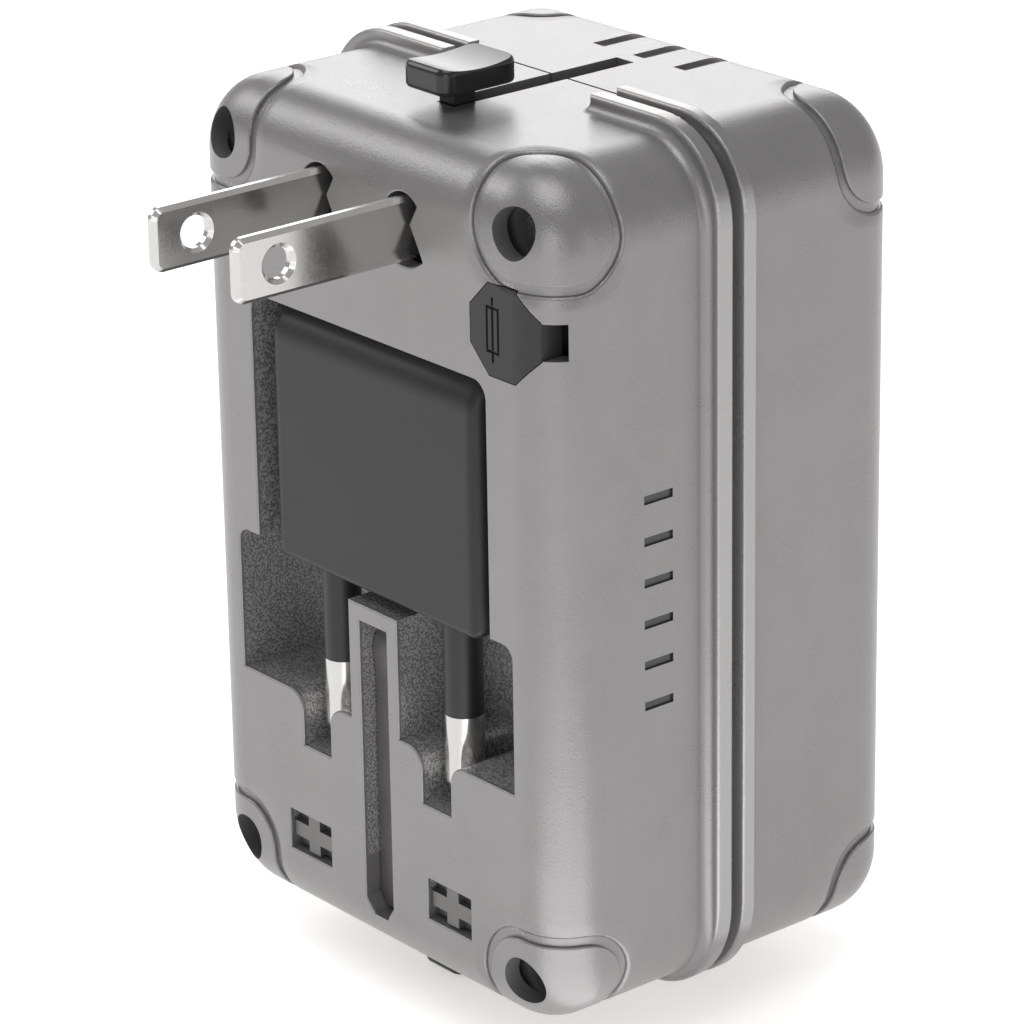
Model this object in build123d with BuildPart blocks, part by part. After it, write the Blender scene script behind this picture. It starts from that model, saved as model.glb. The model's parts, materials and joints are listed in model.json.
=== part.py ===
from build123d import *
import math
import os

os.makedirs("parts", exist_ok=True)

# Universal travel adapter: a two-part case with a folding two-pin plug block, sliding and
# twisting flat blades, a sliding three-pin plug with a folding earth pin, and a multi-standard
# outlet on the back.
#
# Frame, in millimetres: X to the right seen from the plug side, Y from the plug face into the
# case, Z up. The origin is the centre of the flat plug face.

# ------------------------------------------------------------------ driving dimensions
CASE_W = 55.4            # across X
CASE_H = 86.9            # along Z
CASE_D = 45.1            # along Y
CORNER_R = 8.0           # the four long edges that run along Y
EDGE_R = 5.6             # the rims of the plug face and of the outlet face
WALL = 1.8
SEAM_Y = 24.9            # where the two half shells meet
SEAM_GAP = 0.3
LIP = 0.9                # thickness of the tongue behind the seam

RIB_H = 1.6              # two raised bands run round each side of the front shell
RIB_EDGE_R = 0.35
RIB_LEAD_R = 1.0         # the hollow in front of the first band
RIB_DEPTHS = ((19.2, 1.9), (22.5, 1.6))
RIB_START_X = 11.0
RIB_TOP_R = 9.2
RIB_FOOT_R = 11.0

CAP_X, CAP_Y, CAP_Z = 17.4, 8.1, 33.4       # inner limits of the domed cap at each corner
CAP_R = 4.6
GROOVE_W, GROOVE_T = 0.9, 0.4               # the shallow groove round each cap
SHOULDER_R = 0.36        # outer edge of that groove
DOME_EDGE_R = 0.2
SCREW_X, SCREW_Z = 22.1, 37.9               # the case screws, one in each corner
SCREW_R = 2.5            # the deep screwdriver well in each cap
OPENING_R = 0.2          # edges of the openings in the plug face

RECESS_DEPTH = 10.5      # pocket that holds the folded two-pin block
BLOCK_HALF, BLOCK_TOP, BLOCK_FOOT = 16.0, 22.1, -4.5
RECESS_HALF, RECESS_TOP, RECESS_FOOT = 18.1, 22.5, -3.2
WIDE_HALF, WIDE_FOOT = 21.4, -18.35
NOTCH_W, NOTCH_FOOT = 4.4, -24.0
POST_HALF, POST_TOP = 3.8, -5.7
POCKET_T = 1.2           # wall thickness of the pocket inside the case

EU_PIN_X = 9.5           # two round pins at 19 mm centres
EU_PIN_R = 2.0
EU_PIN_Y = 3.75
EU_PIN_LENGTH = 18.2
EU_SLEEVE_LENGTH = 10.0
EU_HINGE_Y, EU_HINGE_Z = 4.3, 17.4

BLADE_X = 6.35           # flat blades at 12.7 mm centres
BLADE_Z = 35.45          # twist axis of each blade
BLADE_T = 1.4
BLADE_UP, BLADE_DOWN = 2.575, 3.775
BLADE_OUT = 19.9
BLADE_HOLE_Y, BLADE_HOLE_R = 4.9 - BLADE_OUT, 1.6

UK_PIN_X, UK_PIN_Z = 11.1, -34.1            # rectangular pins at 22.2 mm centres
UK_PIN_W, UK_PIN_H = 6.35, 4.0
UK_TIP_Y = 0.5
UK_TIP_ARM_X, UK_TIP_ARM_Z = 0.9, 0.8        # half widths of the cross on each pin's end
UK_TIP_STEP = 0.8        # how far the corners of the end stand back
EARTH_W, EARTH_D = 4.0, 8.0
EARTH_FRONT_Y = 1.9
EARTH_TIP_Z = -38.6
EARTH_PIVOT_Y, EARTH_PIVOT_Z = 4.95, -10.95
EARTH_AXLE_HALF = 3.1
EARTH_SLOT_HALF, EARTH_SLOT_TOP, EARTH_SLOT_FOOT = 2.15, -7.5, -39.0

FUSE_X, FUSE_Z = 20.7, 28.05
FUSE_FLATS = 9.0
FUSE_R = 3.15            # end caps of the fuse

BAR_TOP, BAR_STEP = 11.1, 4.2                # plain sunk bars on the right side
BAR_Y = (11.2, 14.8)
BAR_H, BAR_T = 0.9, 0.25

SLOT_HALF = 1.3          # slider slots in the top and the bottom of the case
US_SLOT_Y = (10.6, 33.4)
UK_SLOT_Y = (17.8, 39.1)
STEM_HALF, STEM_REACH = 1.1, 1.3             # half sizes of a knob's stem across X and along Y
KNOB_HALF = 3.4
KNOB_FRONT, KNOB_BACK = 4.25, 5.05           # how far the pad reaches before and behind its stem
KNOB_LOW, KNOB_HIGH = 1.65, 4.4              # the pad's underside and top above the case
DISH_R, DISH_T = 20.5, 0.5                   # the finger hollow in the pad

OUTLET_Z = -9.0          # height of the live and neutral openings in the outlet face
OUTLET_EARTH_Z = OUTLET_Z + 22.2
WELL_X, WELL_HALF = 9.2, 5.8                 # the wells behind those two openings

RUN = 0.1                # running clearance on a radius or a slide
TINY = 0.01              # tolerance when edges are picked by where they lie
IN_H = CASE_H - 2 * WALL


# ------------------------------------------------------------------ helpers
def at_depth(y):
    """Sketch plane facing the user at depth y, with local x = X and local y = Z."""
    return Plane.XZ.offset(-y)


def block(x, y, z, mode=Mode.ADD):
    """Box between the pairs of limits x, y and z."""
    with Locations(((x[0] + x[1]) / 2, (y[0] + y[1]) / 2, (z[0] + z[1]) / 2)):
        Box(x[1] - x[0], y[1] - y[0], z[1] - z[0], mode=mode)


def rod_x(y, z, radius, x, mode=Mode.ADD):
    """Cylinder along X at (y, z), between the pair of limits x."""
    with Locations(((x[0] + x[1]) / 2, y, z)):
        Cylinder(radius, x[1] - x[0], rotation=(0, 90, 0), mode=mode)


def rod_y(x, z, radius, y, mode=Mode.ADD):
    """Cylinder along Y at (x, z), between the pair of limits y."""
    with Locations((x, (y[0] + y[1]) / 2, z)):
        Cylinder(radius, y[1] - y[0], rotation=(90, 0, 0), mode=mode)


def rod_z(x, y, radius, z, mode=Mode.ADD):
    """Cylinder along Z at (x, y), between the pair of limits z."""
    with Locations((x, y, (z[0] + z[1]) / 2)):
        Cylinder(radius, z[1] - z[0], mode=mode)


def slab(sketch, depth, mode=Mode.ADD):
    """Extrude a sketch that lies on an at_depth plane further into the case."""
    extrude(sketch, amount=-depth, mode=mode)


def save(piece, name):
    """Label a finished piece and write its STEP file."""
    piece.part.label = name
    export_step(piece.part, f"parts/{name}.step")


def case_section(y, inset=0.0):
    """Rounded-rectangle section of the case at depth y, pulled in by inset."""
    with BuildSketch(at_depth(y)) as section:
        RectangleRounded(CASE_W - 2 * inset, CASE_H - 2 * inset, CORNER_R - inset)
    return section.sketch


def case_blank(inset):
    """The whole rounded case as one solid, pulled in by inset on every side."""
    with BuildPart() as blank:
        slab(case_section(inset, inset), CASE_D - 2 * inset)
        rims = blank.faces().sort_by(Axis.Y)[0].edges() + blank.faces().sort_by(Axis.Y)[-1].edges()
        fillet(rims, EDGE_R - inset)
    return blank.part


def cap_box(margin):
    """Rounded box over the top right front corner of the case, wider than the cap by margin."""
    corner = (CAP_X - margin, CAP_Y + margin, CAP_Z - margin)
    with BuildPart() as box:
        block((corner[0], CASE_W), (-CASE_W, corner[1]), (corner[2], CASE_H))
        fillet(box.edges().sort_by_distance(corner)[:3], CAP_R + margin)
    return box.part


def groove_lip(case, skin, side):
    """Edges of a cut that lie both on the skin of the case and on the side wall of the cut."""
    return case.edges().filter_by(lambda e: skin.distance_to(e @ 0.5) < TINY).filter_by(
        lambda e: side.distance_to(e @ 0.5) < TINY)


def capped_case():
    """The whole case with a domed cap and its groove at each of the eight corners."""
    blank, floor = case_blank(0), case_blank(GROOVE_T)
    around, dome = cap_box(GROOVE_W), cap_box(0)
    with BuildPart() as groove:
        add(around)
        add(floor, mode=Mode.SUBTRACT)
    with BuildPart() as cap:
        add(dome)
        add(blank, mode=Mode.INTERSECT)
    with BuildPart() as case:
        add(blank)
        block((0, CASE_W), (-1, CASE_D / 2), (0, CASE_H), mode=Mode.INTERSECT)
        add(groove.part, mode=Mode.SUBTRACT)
        fillet(groove_lip(case, blank.shell(), around.shell()), SHOULDER_R)
        add(cap.part)
        fillet(groove_lip(case, blank.shell(), dome.shell()), DOME_EDGE_R)
        for middle in (Plane.YZ, Plane.XY, at_depth(CASE_D / 2)):
            mirror(about=middle)
    return case.part


def on_face(edge):
    """True for an edge that lies in the plug face."""
    reach = edge.bounding_box()
    return reach.min.Y > -TINY and reach.max.Y < TINY


def proud(edge):
    """True for an edge that stands out from the case, on the crest of a band."""
    reach = edge.bounding_box()
    across = max(abs(reach.min.X), abs(reach.max.X)) - CASE_W / 2
    along = max(abs(reach.min.Z), abs(reach.max.Z)) - CASE_H / 2
    return max(across, along) > RIB_H / 2


def rib_section(y):
    """Section of the raised bands: outside the case, and only beyond RIB_START_X."""
    with BuildSketch(at_depth(y)) as section:
        Rectangle(CASE_W + 2 * RIB_H, CASE_H + 2 * RIB_H)
        fillet(section.vertices().group_by(Axis.Y)[-1], RIB_TOP_R)
        fillet(section.vertices().group_by(Axis.Y)[0], RIB_FOOT_R)
        Rectangle(2 * RIB_START_X, CASE_H + 4 * RIB_H, mode=Mode.SUBTRACT)
    return section.sketch


def recess_section(y):
    """Outline of the front pocket: upper bay, wide bay, two pin notches, centre post left."""
    with BuildSketch(at_depth(y)) as section:
        with Locations((0, (RECESS_TOP + RECESS_FOOT) / 2)):
            Rectangle(2 * RECESS_HALF, RECESS_TOP - RECESS_FOOT)
        with Locations((0, (RECESS_FOOT + WIDE_FOOT) / 2)):
            Rectangle(2 * WIDE_HALF, RECESS_FOOT - WIDE_FOOT)
        with Locations([(sx * EU_PIN_X, (NOTCH_FOOT + WIDE_FOOT) / 2) for sx in (-1, 1)]):
            Rectangle(NOTCH_W, WIDE_FOOT - NOTCH_FOOT)
        with Locations((0, (POST_TOP + NOTCH_FOOT) / 2)):
            Rectangle(2 * POST_HALF, POST_TOP - NOTCH_FOOT, mode=Mode.SUBTRACT)
        mouths = section.vertices().filter_by_position(Axis.Y, WIDE_FOOT - TINY, WIDE_FOOT + TINY)
        fillet(mouths.filter_by(lambda v: abs(abs(v.X) - EU_PIN_X) < NOTCH_W), 2.0)
        top_corners = section.vertices().filter_by_position(Axis.Y, RECESS_TOP - TINY, RECESS_TOP + TINY)
        fillet(top_corners, 1.8)
        shoulders = section.vertices().filter_by_position(Axis.Y, RECESS_FOOT - TINY, RECESS_FOOT + TINY)
        fillet(shoulders.filter_by(lambda v: abs(v.X) > WIDE_HALF - TINY), 1.4)
    return section.sketch


def bow_tie(sx):
    """Bow-tie opening round one blade's twist axis, on the plug face."""
    waist, up_x, up_z, down_x, down_z = 1.0, 2.15, 1.95, 2.85, 3.3
    cx = sx * BLADE_X
    with BuildSketch(at_depth(-1)) as opening:
        with BuildLine():
            top_arc = ThreePointArc((cx - up_x, BLADE_Z + up_z),
                                    (cx, BLADE_Z + math.hypot(up_x, up_z)),
                                    (cx + up_x, BLADE_Z + up_z))
            right = Polyline(top_arc @ 1, (cx + waist, BLADE_Z), (cx + down_x, BLADE_Z - down_z))
            foot_arc = ThreePointArc(right @ 1,
                                     (cx, BLADE_Z - math.hypot(down_x, down_z)),
                                     (cx - down_x, BLADE_Z - down_z))
            Polyline(foot_arc @ 1, (cx - waist, BLADE_Z), top_arc @ 0)
        make_face()
    return opening.sketch


def fuse_octagon(y, gap=0.0):
    """Octagon of the fuse cover at depth y."""
    with BuildSketch(at_depth(y)) as octagon:
        with Locations((FUSE_X, FUSE_Z)):
            RegularPolygon(FUSE_FLATS / 2 + gap, 8, major_radius=False, rotation=22.5)
    return octagon.sketch


def knob(stem_y, top, side):
    """Slider knob: a dished pad on a stem that goes through the slot. side is +1 or -1 in Z."""
    wall = CASE_H / 2
    front, back = stem_y - KNOB_FRONT, stem_y + KNOB_BACK
    with BuildPart() as piece:
        block((-KNOB_HALF, KNOB_HALF), (front, back), (wall + KNOB_LOW, wall + KNOB_HIGH))
        fillet(piece.edges().filter_by(Axis.Z), 1.4)
        fillet(piece.faces().sort_by(Axis.Z)[-1].edges(), 0.7)
        fillet(piece.faces().sort_by(Axis.Z)[0].edges(), 0.5)
        with BuildSketch(Plane.YZ):
            with Locations(((front + back) / 2, wall + KNOB_HIGH - DISH_T + DISH_R)):
                Circle(DISH_R)
        extrude(amount=2 * KNOB_HALF, both=True, mode=Mode.SUBTRACT)
        block((-STEM_HALF, STEM_HALF), (stem_y - STEM_REACH, stem_y + STEM_REACH),
              (top, wall + KNOB_LOW + 0.2))
        if side < 0:
            mirror(about=Plane.XY, mode=Mode.REPLACE)
    return piece


def edge_grooves():
    """Three shallow grooves over the top rear edge and three over the bottom rear edge."""
    half_w, depth, spacing = 0.9, 0.5, 6.0
    core = case_blank(depth)
    with BuildPart() as grooves:
        for groove_x in (-spacing, 0, spacing):
            width = (groove_x - half_w, groove_x + half_w)
            block(width, (35.1, CASE_D + 1), (33.0, CASE_H / 2 + 1))
            block(width, (40.5, CASE_D + 1), (-CASE_H / 2 - 1, -33.0))
        add(core, mode=Mode.SUBTRACT)
    return grooves.part


# ------------------------------------------------------------------ shared blanks
CASE = capped_case()
CAVITY = case_blank(WALL)
EDGE_GROOVES = edge_grooves()
RECESS = recess_section(-1)
with BuildSketch(at_depth(1.0)) as pocket_walls:
    add(recess_section(1.0))
    offset(amount=POCKET_T, kind=Kind.INTERSECTION)
CORNERS = [(sx * SCREW_X, sz * SCREW_Z) for sx in (-1, 1) for sz in (-1, 1)]


def screw_towers(radius, y):
    """Four towers that the case screws pass through, trimmed to the case."""
    with BuildPart() as towers:
        for cx, cz in CORNERS:
            rod_y(cx, cz, radius, y)
        add(CASE, mode=Mode.INTERSECT)
    return towers.part


FRONT_TOWERS = screw_towers(4.2, (3.0, SEAM_Y - SEAM_GAP / 2))
REAR_TOWERS = screw_towers(4.0, (SEAM_Y + SEAM_GAP / 2, CASE_D - 1.0))

# ------------------------------------------------------------------ front shell
with BuildPart() as front_shell:
    add(CASE)
    for rib_y, rib_w in RIB_DEPTHS:
        slab(rib_section(rib_y), rib_w)
    for band_y in [y for rib_y, rib_w in RIB_DEPTHS for y in (rib_y, rib_y + rib_w)]:
        rims = front_shell.edges().filter_by_position(Axis.Y, band_y - TINY, band_y + TINY)
        fillet(rims.filter_by(proud), RIB_EDGE_R)
    lead_y = RIB_DEPTHS[0][0]
    rims = front_shell.edges().filter_by_position(Axis.Y, lead_y - TINY, lead_y + TINY)
    fillet(rims.filter_by(lambda e: not proud(e)), RIB_LEAD_R)
    split(bisect_by=at_depth(SEAM_Y - SEAM_GAP / 2), keep=Keep.TOP)
    add(CAVITY, mode=Mode.SUBTRACT)
    # rebate for the rear shell's tongue
    slab(case_section(SEAM_Y - 2.2, WALL - LIP), 3, mode=Mode.SUBTRACT)
    # inside walls: pocket, earth-pin slot, guides of the rectangular pins, screw towers
    slab(pocket_walls.sketch, RECESS_DEPTH + POCKET_T - 1.0)
    block((-EARTH_SLOT_HALF - POCKET_T, EARTH_SLOT_HALF + POCKET_T), (1.0, 11.7), (-40.2, POST_TOP))
    for sx in (-1, 1):
        block((sx * UK_PIN_X - 4.5, sx * UK_PIN_X + 4.5), (1.0, 8.0), (UK_PIN_Z - 3.3, UK_PIN_Z + 3.3))
    add(FRONT_TOWERS)
    # shelf that backs the lock button's spring
    block((-3.35, 3.35), (11.0, 15.0), (-35.4, -34.2))
    # openings in the plug face
    slab(RECESS, RECESS_DEPTH + 1, mode=Mode.SUBTRACT)
    fillet(front_shell.edges(Select.LAST).filter_by(on_face), OPENING_R)
    with BuildSketch(at_depth(-1)) as earth_slot:
        with BuildLine():
            Polyline((-EARTH_SLOT_HALF, EARTH_SLOT_TOP), (EARTH_SLOT_HALF, EARTH_SLOT_TOP),
                     (EARTH_SLOT_HALF, EARTH_SLOT_FOOT + 1.6), (1.0, EARTH_SLOT_FOOT),
                     (-1.0, EARTH_SLOT_FOOT), (-EARTH_SLOT_HALF, EARTH_SLOT_FOOT + 1.6), close=True)
        make_face()
    extrude(amount=-11.5, mode=Mode.SUBTRACT)
    fillet(front_shell.edges(Select.LAST).filter_by(on_face), OPENING_R)
    for sx in (-1, 1):
        slab(bow_tie(sx), 4, mode=Mode.SUBTRACT)
        fillet(front_shell.edges(Select.LAST).filter_by(on_face), OPENING_R)
        block((sx * UK_PIN_X - 3.35, sx * UK_PIN_X + 3.35), (-1, 9), (UK_PIN_Z - 2.2, UK_PIN_Z + 2.2),
              mode=Mode.SUBTRACT)
        fillet(front_shell.edges(Select.LAST).filter_by(on_face), OPENING_R)
    slab(fuse_octagon(-1, 0.1), 7.6, mode=Mode.SUBTRACT)
    block((FUSE_X + 4.0, 26.95), (-1, 5.4), (FUSE_Z - 1.8, FUSE_Z + 1.8), mode=Mode.SUBTRACT)
    for cx, cz in CORNERS:
        rod_y(cx, cz, SCREW_R, (-1, 15.5), mode=Mode.SUBTRACT)
        rod_y(cx, cz, 1.5, (15, SEAM_Y + 1), mode=Mode.SUBTRACT)
    # slots for the two sliders, and the lock button's hole
    block((-SLOT_HALF, SLOT_HALF), US_SLOT_Y, (IN_H / 2 - 1, CASE_H), mode=Mode.SUBTRACT)
    block((-SLOT_HALF, SLOT_HALF), UK_SLOT_Y, (-CASE_H, 1 - IN_H / 2), mode=Mode.SUBTRACT)
    block((-1.5, 1.5), (12.1, 14.3), (-CASE_H, 1 - IN_H / 2), mode=Mode.SUBTRACT)
    # hinge-pin bores
    rod_x(EU_HINGE_Y, EU_HINGE_Z, 1.0, (-RECESS_HALF - 1.9, RECESS_HALF + 1.9), mode=Mode.SUBTRACT)
    rod_x(EARTH_PIVOT_Y, EARTH_PIVOT_Z, 0.8, (-EARTH_AXLE_HALF - RUN, EARTH_AXLE_HALF + RUN),
          mode=Mode.SUBTRACT)
    # six plain bars sunk into the right side
    for bar in range(6):
        bar_z = BAR_TOP - bar * BAR_STEP
        block((CASE_W / 2 - BAR_T, CASE_W / 2 + 1), BAR_Y, (bar_z - BAR_H, bar_z), mode=Mode.SUBTRACT)
save(front_shell, "front_shell")

# ------------------------------------------------------------------ rear shell
OUTLET_HALF, OUTLET_LOW, OUTLET_HIGH = 17.2, -24.3, 19.1
BACK_IN = CASE_D - WALL
USB_Z = 22.3             # underside of both charging ports
USB_A_X, USB_A_W, USB_A_H = -7.0, 13.1, 5.7
USB_C_X, USB_C_W, USB_C_H = 7.6, 8.9, 3.2
LENS_X, LENS_Z, LENS_R = 15.2, 25.0, 0.9

with BuildPart() as rear_shell:
    add(CASE)
    split(bisect_by=at_depth(SEAM_Y + SEAM_GAP / 2), keep=Keep.BOTTOM)
    slab(case_section(SEAM_Y - 2.0, WALL - LIP + RUN), 3.0)
    add(CAVITY, mode=Mode.SUBTRACT)
    for cx, cz in CORNERS:
        rod_y(cx, cz, 4.5, (SEAM_Y - 3, SEAM_Y + SEAM_GAP / 2), mode=Mode.SUBTRACT)
    add(REAR_TOWERS)
    for cx, cz in CORNERS:
        rod_y(cx, cz, 1.0, (SEAM_Y, 37.0), mode=Mode.SUBTRACT)
    # outlet window, charging ports and indicator
    with BuildSketch(at_depth(BACK_IN - 1)) as outlet_window:
        with Locations((0, (OUTLET_LOW + OUTLET_HIGH) / 2)):
            RectangleRounded(2 * OUTLET_HALF, OUTLET_HIGH - OUTLET_LOW, 4.0)
        with Locations((USB_A_X, USB_Z + USB_A_H / 2)):
            Rectangle(USB_A_W + 0.2, USB_A_H + 0.2)
        with Locations((USB_C_X, USB_Z + USB_C_H / 2)):
            RectangleRounded(USB_C_W + 0.2, USB_C_H + 0.2, 1.5)
        with Locations((LENS_X, LENS_Z)):
            Circle(LENS_R)
    extrude(amount=-5, mode=Mode.SUBTRACT)
    # slider slots
    block((-SLOT_HALF, SLOT_HALF), US_SLOT_Y, (IN_H / 2 - 1, CASE_H), mode=Mode.SUBTRACT)
    block((-SLOT_HALF, SLOT_HALF), UK_SLOT_Y, (-CASE_H, 1 - IN_H / 2), mode=Mode.SUBTRACT)
    add(EDGE_GROOVES, mode=Mode.SUBTRACT)
save(rear_shell, "rear_shell")

# ------------------------------------------------------------------ outlet face and shutter
with BuildPart() as socket_face:
    with BuildSketch(at_depth(41.8)):
        with Locations((0, (OUTLET_LOW + OUTLET_HIGH) / 2)):
            RectangleRounded(2 * OUTLET_HALF + 2.6, OUTLET_HIGH - OUTLET_LOW + 2.6, 5.0)
    extrude(amount=-(BACK_IN - 41.9))
    with BuildSketch(at_depth(BACK_IN - 0.1)):
        with Locations((0, (OUTLET_LOW + OUTLET_HIGH) / 2)):
            RectangleRounded(2 * OUTLET_HALF - 0.2, OUTLET_HIGH - OUTLET_LOW - 0.2, 3.9)
    extrude(amount=-1.5)
    fillet(socket_face.faces().sort_by(Axis.Y)[-1].edges(), 0.5)
    block((-2.5, 2.5), (39.4, 42.0), (OUTLET_Z - 14.2, OUTLET_Z - 13.1))
    with BuildSketch(at_depth(41)):
        for sx in (-1, 1):
            with Locations((sx * 9.5, OUTLET_Z)):
                Circle(2.55)
            with Locations((sx * UK_PIN_X, OUTLET_Z)):
                Rectangle(6.9, 4.6)
            with Locations((sx * BLADE_X, OUTLET_Z)):
                Rectangle(1.9, 7.2)
            with Locations(Location((sx * 7.9, OUTLET_Z), sx * 30)):
                Rectangle(1.9, 7.0)
        with Locations((0, OUTLET_EARTH_Z)):
            Rectangle(4.6, 8.5)
        with Locations((0, OUTLET_Z + 11.9)):
            RectangleRounded(4.9, 5.4, 2.4)
        with Locations((0, OUTLET_Z - 10.3)):
            Rectangle(1.9, 7.0)
    extrude(amount=-5, mode=Mode.SUBTRACT)
save(socket_face, "socket_face")

SHUTTER_TRAVEL = 7.6
with BuildPart() as shutter:
    block((-16.2, 16.2), (40.2, 41.5), (OUTLET_Z - 5.0, OUTLET_Z + 13.2))
    for sx in (-1, 1):
        block((sx * WELL_X - WELL_HALF, sx * WELL_X + WELL_HALF), (40, 42),
              (OUTLET_Z + SHUTTER_TRAVEL - 3.7, OUTLET_Z + SHUTTER_TRAVEL + 3.7), mode=Mode.SUBTRACT)
    fillet(shutter.edges().filter_by(Axis.Y).group_by(Axis.Z)[0], 1.0)
    block((-1.5, 1.5), (40, 42), (OUTLET_Z - 6.0, OUTLET_Z - 0.2), mode=Mode.SUBTRACT)
save(shutter, "shutter")


def coil_spring(x, y, z, radius, wire, pitch, turns):
    """Compression spring standing along Z from z upwards, with its axis at (x, y)."""
    with BuildPart() as spring:
        with BuildLine():
            path = Helix(pitch, pitch * turns, radius, center=(x, y, z + wire))
        with BuildSketch(Plane(origin=path @ 0, z_dir=path % 0)):
            Circle(wire)
        sweep(is_frenet=True)
    return spring


shutter_spring = coil_spring(0, 40.6, OUTLET_Z - 5.2, 0.95, 0.2, 0.9, 5)
save(shutter_spring, "shutter_spring")

# ------------------------------------------------------------------ outlet contacts and housing
HOUSING_LOW, HOUSING_HIGH = OUTLET_Z - 7.5, OUTLET_Z + 27.0
with BuildPart() as contact_housing:
    block((-16.0, 16.0), (14.2, 40.0), (HOUSING_LOW, HOUSING_HIGH))
    for sx in (-1, 1):
        block((sx * WELL_X - WELL_HALF, sx * WELL_X + WELL_HALF), (17.0, 41),
              (OUTLET_Z - 5.0, OUTLET_Z + 5.0), mode=Mode.SUBTRACT)
        block((sx * 9.9 - 4.9, sx * 9.9 + 4.9), (13, 41), (OUTLET_Z + 8.0, HOUSING_HIGH - 1.5),
              mode=Mode.SUBTRACT)
    block((-3.6, 3.6), (17.0, 41), (OUTLET_Z + 8.0, HOUSING_HIGH - 1.5), mode=Mode.SUBTRACT)
    block((-1.6, 1.6), (17.0, 41), (HOUSING_LOW - 1, OUTLET_Z + 5.0), mode=Mode.SUBTRACT)
    for sx in (-1, 1):
        block((sx * WELL_X - 1.6, sx * WELL_X + 1.6), (14, 18), (OUTLET_Z - 0.5, OUTLET_Z + 0.5),
              mode=Mode.SUBTRACT)
save(contact_housing, "contact_housing")


def mains_contact(sx):
    """Live or neutral outlet contact: a folded strip with two pinched leaves."""
    cx, half = sx * WELL_X, 4.9
    with BuildPart() as contact:
        block((cx - half, cx + half), (18.0, 18.7), (OUTLET_Z - 3.3, OUTLET_Z + 3.3))
        for sz in (-1, 1):
            with BuildSketch(Plane.YZ.offset(cx)):
                with BuildLine():
                    Polyline((18.0, OUTLET_Z + sz * 2.6), (33.0, OUTLET_Z + sz * 2.6),
                             (36.0, OUTLET_Z + sz * 1.9), (39.2, OUTLET_Z + sz * 3.1),
                             (39.2, OUTLET_Z + sz * 3.8), (36.0, OUTLET_Z + sz * 2.6),
                             (33.3, OUTLET_Z + sz * 3.3), (18.0, OUTLET_Z + sz * 3.3), close=True)
                make_face()
            extrude(amount=half, both=True)
        block((cx - 1.5, cx + 1.5), (14.6, 18.2), (OUTLET_Z - 0.4, OUTLET_Z + 0.4))
    return contact


for side_name, sx in (("live", 1), ("neutral", -1)):
    save(mains_contact(sx), f"{side_name}_contact")

with BuildPart() as earth_contact:
    for sx in (-1, 1):
        with BuildSketch(Plane.XY.offset(OUTLET_EARTH_Z)):
            with BuildLine():
                Polyline((sx * 2.2, 18.0), (sx * 2.2, 33.0), (sx * 1.5, 36.0), (sx * 2.6, 39.2),
                         (sx * 3.2, 39.2), (sx * 2.2, 36.0), (sx * 2.8, 33.0), (sx * 2.8, 18.0),
                         close=True)
            make_face()
        extrude(amount=3.1, both=True)
    block((-2.8, 2.8), (17.4, 18.1), (OUTLET_EARTH_Z - 3.1, OUTLET_EARTH_Z + 3.1))
save(earth_contact, "earth_contact")

# ------------------------------------------------------------------ inner frame and slide guides
BOARD_LOW, BOARD_HIGH = 21.0, 22.2
FRAME_HALF, FRAME_Y, FRAME_Z = 17.4, (12.4, 14.0), (-26.0, 20.8)
LEG_T, LEG_Y = 1.2, (14.0, 40.0)
with BuildPart() as inner_frame:
    block((-FRAME_HALF, FRAME_HALF), FRAME_Y, FRAME_Z)
    for x_limits in ((-FRAME_HALF, LEG_T - FRAME_HALF), (FRAME_HALF - LEG_T, FRAME_HALF)):
        block(x_limits, LEG_Y, (FRAME_Z[0], FRAME_Z[0] + 6.0))
        block(x_limits, LEG_Y, (FRAME_Z[1] - 6.8, FRAME_Z[1]))
    for hole_x in (-12.5, 12.5):
        for hole_z in (-21.5, 15.0):
            rod_y(hole_x, hole_z, 1.6, (12, 15), mode=Mode.SUBTRACT)
save(inner_frame, "inner_frame")

GUIDE_T, CHEEK_T = 1.0, 1.4                  # thickness of a guide's deck and of its two cheeks
US_GUIDE_HALF, US_GUIDE_Y, US_GUIDE_Z = 15.6, (3.0, 42.0), 29.4
UK_GUIDE_HALF, UK_GUIDE_Y, UK_GUIDE_Z = 16.2, (13.0, 42.0), -29.7
with BuildPart() as us_guide:
    block((-US_GUIDE_HALF, US_GUIDE_HALF), US_GUIDE_Y, (US_GUIDE_Z - GUIDE_T, US_GUIDE_Z))
    for x_limits in ((-US_GUIDE_HALF, CHEEK_T - US_GUIDE_HALF), (US_GUIDE_HALF - CHEEK_T, US_GUIDE_HALF)):
        block(x_limits, US_GUIDE_Y, (US_GUIDE_Z, 38.0))
save(us_guide, "us_guide")

with BuildPart() as uk_guide:
    block((-UK_GUIDE_HALF, UK_GUIDE_HALF), UK_GUIDE_Y, (UK_GUIDE_Z, UK_GUIDE_Z + GUIDE_T))
    for x_limits in ((-UK_GUIDE_HALF, CHEEK_T - UK_GUIDE_HALF), (UK_GUIDE_HALF - CHEEK_T, UK_GUIDE_HALF)):
        block(x_limits, UK_GUIDE_Y, (-38.0, UK_GUIDE_Z))
save(uk_guide, "uk_guide")

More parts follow.
